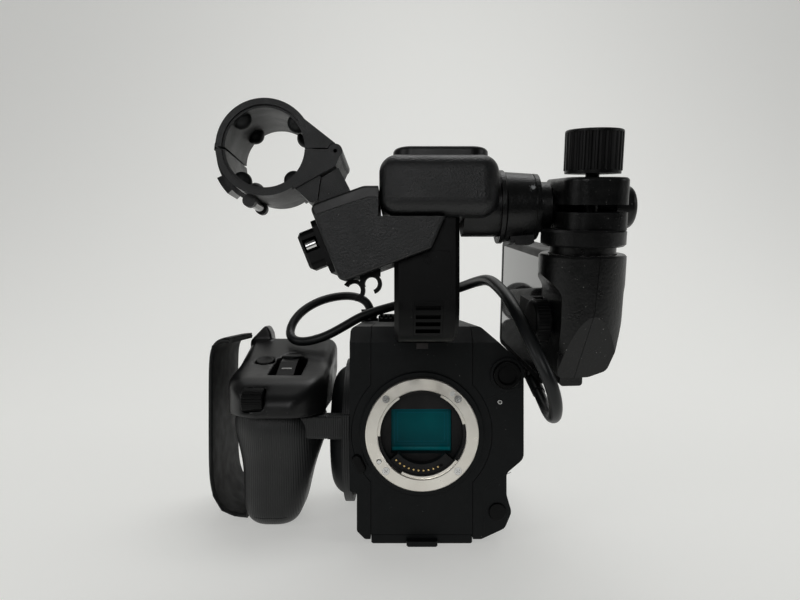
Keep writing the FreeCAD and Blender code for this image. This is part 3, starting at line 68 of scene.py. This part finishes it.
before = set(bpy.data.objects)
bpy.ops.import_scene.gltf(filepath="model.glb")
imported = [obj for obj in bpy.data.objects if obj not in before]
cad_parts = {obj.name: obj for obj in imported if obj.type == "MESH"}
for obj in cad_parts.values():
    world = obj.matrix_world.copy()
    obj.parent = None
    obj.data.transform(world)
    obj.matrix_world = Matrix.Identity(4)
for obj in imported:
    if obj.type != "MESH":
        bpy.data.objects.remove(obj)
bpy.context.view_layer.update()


# ---- material helpers -----------------------------------------------------------------------------

def node(tree, kind, **settings):
    made = tree.nodes.new(kind)
    for key, value in settings.items():
        setattr(made, key, value)
    return made


def noise(tree, place, scale, detail=2.0, roughness=0.5):
    made = node(tree, "ShaderNodeTexNoise")
    made.inputs["Scale"].default_value = scale
    made.inputs["Detail"].default_value = detail
    made.inputs["Roughness"].default_value = roughness
    tree.links.new(place, made.inputs["Vector"])
    return made.outputs["Fac"]


def remap(tree, value, low, high, to_low, to_high):
    made = node(tree, "ShaderNodeMapRange")
    made.inputs["From Min"].default_value = low
    made.inputs["From Max"].default_value = high
    made.inputs["To Min"].default_value = to_low
    made.inputs["To Max"].default_value = to_high
    tree.links.new(value, made.inputs["Value"])
    return made.outputs["Result"]


def mix(tree, factor, first, second):
    made = node(tree, "ShaderNodeMix", data_type="RGBA")
    tree.links.new(factor, made.inputs["Factor"])
    for socket, colour in ((made.inputs["A"], first), (made.inputs["B"], second)):
        if isinstance(colour, tuple):
            socket.default_value = (*colour, 1.0)
        else:
            tree.links.new(colour, socket)
    return made.outputs["Result"]


def textured(name, dark, light, rough, grain, depth, metallic=0.0, dust=0.0, coat=0.0,
             specular=0.36):
    """A surface of two close tones with a fine grain, uneven gloss and a little dust.

    rough is (low, high), grain is the grain's scale per metre, depth is the bump's height in metres.
    """
    material = bpy.data.materials.new(name)
    material.use_nodes = True
    tree = material.node_tree
    shader = tree.nodes["Principled BSDF"]
    place = node(tree, "ShaderNodeTexCoord").outputs["Object"]
    patches = noise(tree, place, 45.0, 3.0)
    colour = mix(tree, remap(tree, patches, 0.35, 0.65, 0.0, 1.0), dark, light)
    if dust:
        specks = noise(tree, place, 1100.0, 2.0)
        colour = mix(tree, remap(tree, specks, 0.80 - dust, 0.84 - dust, 0.0, 0.8), colour,
                     (0.30, 0.30, 0.29))
    tree.links.new(colour, shader.inputs["Base Color"])
    gloss = remap(tree, noise(tree, place, 120.0, 4.0), 0.3, 0.7, rough[0], rough[1])
    tree.links.new(gloss, shader.inputs["Roughness"])
    shader.inputs["Metallic"].default_value = metallic
    shader.inputs["Coat Weight"].default_value = coat
    shader.inputs["Specular IOR Level"].default_value = specular
    bump = node(tree, "ShaderNodeBump")
    bump.inputs["Distance"].default_value = depth
    bump.inputs["Strength"].default_value = 1.0
    tree.links.new(noise(tree, place, grain, 3.0, 0.6), bump.inputs["Height"])
    tree.links.new(bump.outputs["Normal"], shader.inputs["Normal"])
    return material


# ---- materials ------------------------------------------------------------------------------------

def body_paint():
    """The body's bluish-black, finely grained paint."""
    return textured("body_paint", (0.0022, 0.0032, 0.0036), (0.0032, 0.0042, 0.0047), (0.50, 0.60),
                    1500.0, 0.00006, dust=0.03, specular=0.2)


def pebbled_plastic():
    """The handle nose and audio box: a coarser pebble."""
    return textured("pebbled_plastic", (0.0045, 0.0050, 0.0055), (0.0070, 0.0076, 0.0080), (0.30, 0.40),
                    1150.0, 0.00030, dust=0.04, specular=0.5)


def smooth_plastic():
    return textured("smooth_plastic", (0.0018, 0.0020, 0.0021), (0.0028, 0.0030, 0.0031), (0.36, 0.46),
                    1800.0, 0.00003, dust=0.02, specular=0.14)


def satin_plastic():
    return textured("satin_plastic", (0.0050, 0.0052, 0.0054), (0.0075, 0.0077, 0.0080), (0.30, 0.40),
                    1600.0, 0.00005, dust=0.04)


def gloss_plastic():
    return textured("gloss_plastic", (0.004, 0.004, 0.0045), (0.006, 0.006, 0.0065), (0.10, 0.20),
                    600.0, 0.00001, coat=0.3)


def grained_metal():
    """The microphone ring's painted metal: grey where it faces the light, with a sandy grain."""
    return textured("grained_metal", (0.0085, 0.0090, 0.0095), (0.0140, 0.0145, 0.0150), (0.38, 0.50),
                    1500.0, 0.00022, dust=0.06, specular=0.5)


def bracket_paint():
    """The screen bracket's semi-gloss paint."""
    return textured("bracket_paint", (0.0020, 0.0022, 0.0023), (0.0030, 0.0032, 0.0034), (0.26, 0.38),
                    800.0, 0.00014, dust=0.07)


def knob_metal():
    return textured("knob_metal", (0.0040, 0.0040, 0.0042), (0.0060, 0.0060, 0.0062), (0.30, 0.42),
                    900.0, 0.00003, metallic=0.3)


def grip_rubber():
    return textured("grip_rubber", (0.0045, 0.0052, 0.0056), (0.0066, 0.0074, 0.0078), (0.46, 0.58),
                    1700.0, 0.00005, dust=0.03)


def ribbed_rubber():
    """The hand piece's rubber, with fine upright ribs."""
    material = textured("ribbed_rubber", (0.0045, 0.0052, 0.0056), (0.0066, 0.0074, 0.0078),
                        (0.40, 0.50), 1700.0, 0.00004, dust=0.03, specular=0.5)
    tree = material.node_tree
    ribs = node(tree, "ShaderNodeTexWave", wave_type="BANDS", bands_direction="X")
    ribs.inputs["Scale"].default_value = 2 * math.pi / (20 * RIB_PITCH * MM)
    tree.links.new(node(tree, "ShaderNodeTexCoord").outputs["Object"], ribs.inputs["Vector"])
    bump = node(tree, "ShaderNodeBump")
    bump.inputs["Distance"].default_value = 0.00012
    tree.links.new(ribs.outputs["Fac"], bump.inputs["Height"])
    grain = next(n for n in tree.nodes if n.type == "BUMP" and n != bump)
    tree.links.new(bump.outputs["Normal"], grain.inputs["Normal"])
    return material


def chipped_paint():
    """The sleeve's paint, with one chip worn through to pale primer."""
    material = textured("chipped_paint", (0.0026, 0.0028, 0.0030), (0.0042, 0.0044, 0.0046),
                        (0.26, 0.38), 800.0, 0.00014, dust=0.05)
    tree = material.node_tree
    shader = tree.nodes["Principled BSDF"]
    paint_colour = shader.inputs["Base Color"].links[0].from_socket
    place = node(tree, "ShaderNodeTexCoord").outputs["Object"]
    away = node(tree, "ShaderNodeVectorMath", operation="DISTANCE")
    away.inputs[1].default_value = tuple(v * MM for v in CHIP)
    tree.links.new(place, away.inputs[0])
    ragged = node(tree, "ShaderNodeMath", operation="MULTIPLY")
    tree.links.new(away.outputs["Value"], ragged.inputs[0])
    tree.links.new(remap(tree, noise(tree, place, 1300.0, 4.0, 0.8), 0.3, 0.7, 0.4, 2.2),
                   ragged.inputs[1])
    bare = remap(tree, ragged.outputs["Value"], CHIP_R * MM, CHIP_R * MM * 1.1, 0.9, 0.0)
    tree.links.new(mix(tree, bare, paint_colour, (0.42, 0.43, 0.44)), shader.inputs["Base Color"])
    return material


def cable_rubber():
    return textured("cable_rubber", (0.0045, 0.0054, 0.0060), (0.0065, 0.0075, 0.0082), (0.34, 0.44),
                    1500.0, 0.00003, dust=0.02)


def mount_steel():
    return textured("mount_steel", (0.90, 0.86, 0.78), (0.97, 0.94, 0.87), (0.26, 0.42), 700.0,
                    0.00001, metallic=1.0)


def bright_steel():
    return textured("bright_steel", (0.70, 0.70, 0.69), (0.80, 0.80, 0.79), (0.16, 0.28), 500.0,
                    0.00001, metallic=1.0)


def chamber_black():
    return textured("chamber_black", (0.004, 0.004, 0.0045), (0.007, 0.007, 0.0075), (0.6, 0.75),
                    1200.0, 0.00004)


def gold():
    return textured("gold", (0.72, 0.50, 0.20), (0.85, 0.62, 0.28), (0.22, 0.35), 900.0, 0.000005,
                    metallic=1.0)


def sensor_silicon():
    return textured("sensor_silicon", (0.002, 0.030, 0.036), (0.003, 0.040, 0.046), (0.25, 0.35),
                    400.0, 0.000002, specular=0.2)


def filter_glass():
    """The cover glass over the sensor, which reflects teal."""
    return textured("filter_glass", (0.0, 0.085, 0.100), (0.0, 0.110, 0.125), (0.10, 0.14), 300.0,
                    0.000001, specular=0.05)


def sensor_edge():
    return textured("sensor_edge", (0.0, 0.105, 0.150), (0.0, 0.130, 0.175), (0.2, 0.3), 600.0,
                    0.000002, specular=0.1)


def sensor_bright():
    return textured("sensor_bright", (0.0, 0.200, 0.230), (0.0, 0.240, 0.270), (0.2, 0.3), 600.0,
                    0.000002, specular=0.2)


def screen_glass():
    return textured("screen_glass", (0.006, 0.006, 0.0065), (0.008, 0.008, 0.0085), (0.05, 0.10),
                    300.0, 0.000001, coat=1.0)


def smoked_window():
    return textured("smoked_window", (0.050, 0.046, 0.046), (0.062, 0.058, 0.058), (0.12, 0.2),
                    300.0, 0.000002, coat=0.5)


def strap_fabric():
    """Woven strap cloth."""
    return textured("strap_fabric", (0.0030, 0.0030, 0.0032), (0.0055, 0.0055, 0.0057), (0.65, 0.8),
                    1400.0, 0.00015, dust=0.05)


def white_paint():
    return textured("white_paint", (0.62, 0.62, 0.60), (0.75, 0.75, 0.73), (0.45, 0.6), 900.0,
                    0.00001)


FINISHES = {
    body_paint: ["front_cover", "left_cover", "right_cover", "top_cover", "rear_cover",
                 "base_plate", "card_door", "grip_mount_hub", "battery_pack", "chassis"],
    pebbled_plastic: ["handle_grip", "xlr_box", "handle_rec_button", "handle_zoom_rocker"],
    smooth_plastic: ["lens_release_button", "white_balance_button", "nd_filter_dial",
                     "handle_post", "xlr_connector", "lcd_bezel", "lcd_back_cover", "cable_clip",
                     "grip_assign_button", "grip_zoom_lever", "grip_dial", "mic_grille"],
    satin_plastic: ["viewfinder_tube", "handle_nose_cap", "xlr_box_lid", "grip_head",
                    "rod_lock_lever", "accessory_shoe"],
    gloss_plastic: ["mic_holder_latch"],
    grained_metal: ["mic_holder_base", "mic_holder_cap", "mic_holder_hinge_pin",
                    "mic_holder_foot"],
    chipped_paint: ["rod_sleeve"],
    bracket_paint: ["lcd_rod", "pivot_block", "lcd_arm_left", "lcd_arm_right"],
    knob_metal: ["clamp_knob"],
    ribbed_rubber: ["grip_shell"],
    grip_rubber: ["viewfinder_eyecup", "mic_pads_upper", "mic_pads_lower"],
    cable_rubber: ["cable_plugs"],
    mount_steel: ["lens_mount_ring"],
    bright_steel: ["lens_mount_screws", "lens_lock_pin", "xlr_release_tab"],
    chamber_black: ["mount_chamber"],
    gold: ["contact_pins"],
    sensor_silicon: ["image_sensor"],
    filter_glass: ["sensor_glass"],
    screen_glass: ["lcd_screen"],
    smoked_window: ["tally_window"],
    strap_fabric: ["hand_strap"],
}


def paint(obj, material):
    obj.data.materials.clear()
    obj.data.materials.append(material)


def paint_cad():
    """Gives every CAD node its finish; returns the materials by name."""
    made = {}
    for finish, names in FINISHES.items():
        material = finish()
        made[finish.__name__] = material
        for name in names:
            paint(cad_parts[name], material)
    return made


# ---- own pieces -----------------------------------------------------------------------------------

def mesh_piece(name, verts, faces, material, body, smooth=True):
    """A mesh from points in millimetres, riding on a body."""
    mesh = bpy.data.meshes.new(name)
    mesh.from_pydata([Vector(v) * MM for v in verts], [], faces)
    for face in mesh.polygons:
        face.use_smooth = smooth
    mesh.materials.append(material)
    obj = bpy.data.objects.new(name, mesh)
    bpy.context.scene.collection.objects.link(obj)
    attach(obj, body)
    return obj


def smooth_copy(name, source, body, material, voxel, passes):
    """Stands a softened copy of a CAD solid in its place, for a moulded organic form."""
    obj = bpy.data.objects.new(name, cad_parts[source].data.copy())
    bpy.context.scene.collection.objects.link(obj)
    weld = obj.modifiers.new("weld", "WELD")
    weld.merge_threshold = 0.00001
    remesh = obj.modifiers.new("remesh", "REMESH")
    remesh.mode = "VOXEL"
    remesh.voxel_size = voxel * MM
    remesh.use_smooth_shade = True
    relax = obj.modifiers.new("smooth", "SMOOTH")
    relax.factor = 0.5
    relax.iterations = passes
    paint(obj, material)
    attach(obj, body)
    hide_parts(source)
    return obj


def band(name, line, front, rear, thickness, material, body):
    """A strap of rounded section swept along a line drawn in X and Z."""
    half = thickness / 2
    section = [(front, -half * 0.5), (front + 0.5, -half), (rear - 0.5, -half), (rear, -half * 0.5),
               (rear, half * 0.5), (rear - 0.5, half), ((front + rear) / 2, half),
               (front + 0.5, half), (front, half * 0.5)]
    verts = []
    for i, (x, z) in enumerate(line):
        x0, z0 = line[max(i - 1, 0)]
        x1, z1 = line[min(i + 1, len(line) - 1)]
        along = Vector((x1 - x0, z1 - z0)).normalized()
        side = Vector((along.y, -along.x))
        for y, out in section:
            verts.append((x + side.x * out, y, z + side.y * out))
    count = len(section)
    faces = []
    for i in range(len(line) - 1):
        for j in range(count):
            k = (j + 1) % count
            faces.append((i * count + j, i * count + k, (i + 1) * count + k, (i + 1) * count + j))
    faces.append(tuple(range(count)))
    last = (len(line) - 1) * count
    faces.append(tuple(last + j for j in reversed(range(count))))
    obj = mesh_piece(name, verts, faces, material, body)
    rounder = obj.modifiers.new("subdivision", "SUBSURF")
    rounder.levels = 2
    rounder.render_levels = 2
    return obj


def shifted_line(line, distance):
    """The line moved sideways, towards the hand when the distance is positive."""
    out = []
    for i, (x, z) in enumerate(line):
        x0, z0 = line[max(i - 1, 0)]
        x1, z1 = line[min(i + 1, len(line) - 1)]
        along = Vector((x1 - x0, z1 - z0)).normalized()
        out.append((x - along.y * distance, z + along.x * distance))
    return out


def hand_strap(cloth, edge):
    """Two bands one behind the other, strap_lining on the side away from the hand, and piped edges."""
    outer = band("strap_outer", STRAP_LINE, STRAP_FRONT, STRAP_REAR, 1.8, cloth, "grip")
    band("strap_lining", shifted_line(STRAP_LINE, -1.7), STRAP_FRONT + 1.6,
         STRAP_REAR - 1.6, 2.2, cloth, "grip")
    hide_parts("hand_strap")
    for name, y in (("strap_piping_front", STRAP_FRONT + 0.2), ("strap_piping_rear", STRAP_REAR - 0.2)):
        wire(name, [(x, y, z) for x, z in shifted_line(STRAP_LINE, -0.6)], 0.7, edge, "grip")


def wire(name, points, radius, material, body):
    """A thin round line through points in millimetres."""
    curve = bpy.data.curves.new(name, "CURVE")
    curve.dimensions = "3D"
    curve.bevel_depth = radius * MM
    curve.bevel_resolution = 2
    curve.use_fill_caps = True
    spline = curve.splines.new("POLY")
    spline.points.add(len(points) - 1)
    for point, spot in zip(spline.points, points):
        point.co = (*(Vector(spot) * MM), 1.0)
    curve.materials.append(material)
    obj = bpy.data.objects.new(name, curve)
    bpy.context.scene.collection.objects.link(obj)
    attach(obj, body)
    return obj


def face_seams(material):
    for i, line in enumerate(FACE_SEAMS):
        wire(f"face_seam_{i}", [(x, FRONT, z) for x, z in line], 0.14, material, "camera")


def disc_piece(name, centre, facing, radius, height, material, body):
    """A small flat cylinder standing out of a surface, facing a direction."""
    turn = Vector(facing).to_track_quat("Z", "Y")
    steps = 24
    verts = []
    for level, r in ((-0.3, radius), (height * 0.7, radius), (height, radius * 0.9)):
        for i in range(steps):
            angle = 2 * math.pi * i / steps
            verts.append(Vector(centre) + turn @ Vector((r * math.cos(angle), r * math.sin(angle), level)))
    faces = []
    for ring in (0, steps):
        for i in range(steps):
            j = (i + 1) % steps
            faces.append((ring + i, ring + j, ring + steps + j, ring + steps + i))
    faces.append(tuple(2 * steps + i for i in range(steps)))
    return mesh_piece(name, verts, faces, material, body, smooth=False)


def small_screws(head, socket):
    for i, (centre, facing) in enumerate(SCREWS):
        disc_piece(f"screw_{i}", centre, facing, 1.25, 0.25, head, "camera")
        # the black socket disc is painted shade, standing in for the shade inside the screw's recess
        inner = Vector(centre) + Vector(facing) * 0.2
        disc_piece(f"screw_socket_shade_{i}", inner, facing, 0.6, 0.1, socket, "camera")


def mount_index(material):
    """The white dot that a lens is lined up with."""
    angle = math.radians(INDEX_ANGLE)
    centre = (INDEX_CIRCLE * math.cos(angle), MOUNT_FACE, LENS_Z + INDEX_CIRCLE * math.sin(angle))
    disc_piece("mount_index", centre, (0, -1, 0), INDEX_R, 0.15, material, "camera")


def flat_strip(name, x0, x1, z0, z1, y, material):
    """A flat rectangle facing the lens side."""
    mesh_piece(name, [(x0, y, z0), (x1, y, z0), (x1, y, z1), (x0, y, z1)], [(0, 1, 2, 3)],
               material, "camera", smooth=False)


def sensor_frames(edge, strip):
    """The lighter outlines nested in the sensor's window and the bright strip along its foot."""
    y = GLASS_FRONT - 0.05
    for i, (half_w, low, high) in enumerate(SENSOR_OUTLINES):
        for j, x in enumerate((-half_w, half_w)):
            flat_strip(f"outline_{i}_side_{j}", x - LINE_HALF, x + LINE_HALF,
                       LENS_Z + low, LENS_Z + high, y, edge)
        for j, z in enumerate((low, high)):
            flat_strip(f"outline_{i}_bar_{j}", -half_w, half_w,
                       LENS_Z + z - LINE_HALF, LENS_Z + z + LINE_HALF, y - 0.02, edge)
    half_w, low, high = SENSOR_FOOT
    flat_strip("sensor_foot", -half_w, half_w, LENS_Z + low, LENS_Z + high, y, strip)


def lever_line(material):
    """The white line across the front edge of the zoom lever."""
    verts, faces = [], []
    for y, z in ((-30.6, 92.6), (-30.0, 92.9), (-29.8, 93.35), (-30.6, 93.1)):
        verts += [(-84.6, y, z), (-78.4, y, z)]
    for i in range(4):
        j = (i + 1) % 4
        faces.append((2 * i, 2 * i + 1, 2 * j + 1, 2 * j))
    faces += [(0, 2, 4, 6), (7, 5, 3, 1)]
    mesh_piece("lever_line", verts, faces, material, "zoom_lever", smooth=False)


def lcd_cable(material):
    """The cable: the CAD route as one curve of second degree, which the CAD arcs follow."""
    curve = bpy.data.curves.new("lcd_cable_look", "CURVE")
    curve.dimensions = "3D"
    curve.bevel_depth = CABLE_R * MM
    curve.bevel_resolution = 8
    curve.use_fill_caps = True
    spline = curve.splines.new("NURBS")
    spline.points.add(len(CABLE_ROUTE) - 1)
    for point, spot in zip(spline.points, CABLE_ROUTE):
        point.co = (spot[0] * MM, spot[1] * MM, spot[2] * MM, 1.0)
    spline.order_u = 3
    spline.use_endpoint_u = True
    spline.resolution_u = 8
    cable = bpy.data.objects.new("lcd_cable_look", curve)
    bpy.context.scene.collection.objects.link(cable)
    curve.materials.append(material)
    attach(cable, "camera")
    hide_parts("lcd_cable")
    first, last = CABLE_ROUTE[0], CABLE_ROUTE[-1]
    return cable


# ---- stage ----------------------------------------------------------------------------------------

def sweep_floor():
    """A pale seamless paper that curves up behind the rig."""
    low, radius = 0.25, 1.5
    profile = [(-0.46, 0.0), (low, 0.0)]
    for i in range(1, 17):
        turn = math.radians(90 * i / 16)
        profile.append((low + radius * math.sin(turn), radius - radius * math.cos(turn)))
    profile.append((low + radius, 4.0))
    verts = [(x, y, z) for x in (-5.0, 5.0) for y, z in profile]
    count = len(profile)
    faces = [(i, i + 1, count + i + 1, count + i) for i in range(count - 1)]
    mesh = bpy.data.meshes.new("floor")
    mesh.from_pydata(verts, [], faces)
    for face in mesh.polygons:
        face.use_smooth = True
    floor = bpy.data.objects.new("floor", mesh)
    bpy.context.scene.collection.objects.link(floor)
    material = bpy.data.materials.new("floor_paper")
    material.use_nodes = True
    shader = material.node_tree.nodes["Principled BSDF"]
    shader.inputs["Base Color"].default_value = (0.66, 0.665, 0.645, 1.0)
    shader.inputs["Roughness"].default_value = 0.9
    shader.inputs["Specular IOR Level"].default_value = 0.1
    shader.inputs["Emission Color"].default_value = (1.0, 1.0, 0.975, 1.0)
    shader.inputs["Emission Strength"].default_value = 0.38
    mesh.materials.append(material)


def lamp(name, place, target, size, power):
    data = bpy.data.lights.new(name, "AREA")
    data.shape = "SQUARE"
    data.size = size
    data.energy = power
    obj = bpy.data.objects.new(name, data)
    obj.location = place
    obj.rotation_euler = (Vector(target) - Vector(place)).to_track_quat("-Z", "Y").to_euler()
    bpy.context.scene.collection.objects.link(obj)


def light_up():
    """A room that is bright overhead and dark at eye level, and soft lamps above."""
    world = bpy.data.worlds.new("studio")
    world.use_nodes = True
    tree = world.node_tree
    way = node(tree, "ShaderNodeTexCoord").outputs["Generated"]
    split = node(tree, "ShaderNodeSeparateXYZ")
    tree.links.new(way, split.inputs["Vector"])
    strength = remap(tree, split.outputs["Z"], 0.35, 0.9, 0.006, 0.12)
    background = tree.nodes["Background"]
    background.inputs["Color"].default_value = (1.0, 1.0, 0.985, 1.0)
    tree.links.new(strength, background.inputs["Strength"])
    bpy.context.scene.world = world
    lamp("key", (0.15, 0.45, 1.6), (0.0, 0.30, 0.0), 0.9, 5.0)
    lamp("front", (-0.15, -1.5, 0.58), (-0.03, -0.1, 0.19), 0.55, 3.2)
    lamp("front_left", (-1.2, -0.9, 0.55), (-0.05, -0.1, 0.12), 0.6, 2.2)
    lamp("right", (1.1, -0.35, 0.5), (0.05, -0.1, 0.12), 0.35, 1.0)
    lamp("back", (0.2, 0.6, 1.5), (0.2, 1.7, 0.6), 1.2, 3.5)


def set_camera():
    data = bpy.data.cameras.new("camera")
    data.lens = FOCAL_LENGTH
    data.sensor_width = 36.0
    data.clip_start = 0.01
    data.clip_end = 50.0
    obj = bpy.data.objects.new("camera", data)
    obj.location = Vector(EYE) * MM
    obj.rotation_euler = (math.radians(90), 0.0, 0.0)
    bpy.context.scene.collection.objects.link(obj)
    scene = bpy.context.scene
    scene.camera = obj
    scene.render.resolution_x = 800
    scene.render.resolution_y = 600
    scene.view_settings.view_transform = "Standard"
    scene.cycles.use_denoising = True
    scene.cycles.max_bounces = 6


# ---- put together ---------------------------------------------------------------------------------

finishes = paint_cad()
white = white_paint()
lcd_cable(finishes["cable_rubber"])
smooth_copy("grip_head_look", "grip_head", "grip", finishes["satin_plastic"], 0.9, 10)
hand_strap(finishes["strap_fabric"], finishes["grip_rubber"])
face_seams(finishes["chamber_black"])
small_screws(finishes["bright_steel"], finishes["chamber_black"])
mount_index(white)
sensor_frames(sensor_edge(), sensor_bright())
lever_line(white)
sweep_floor()
light_up()
set_camera()
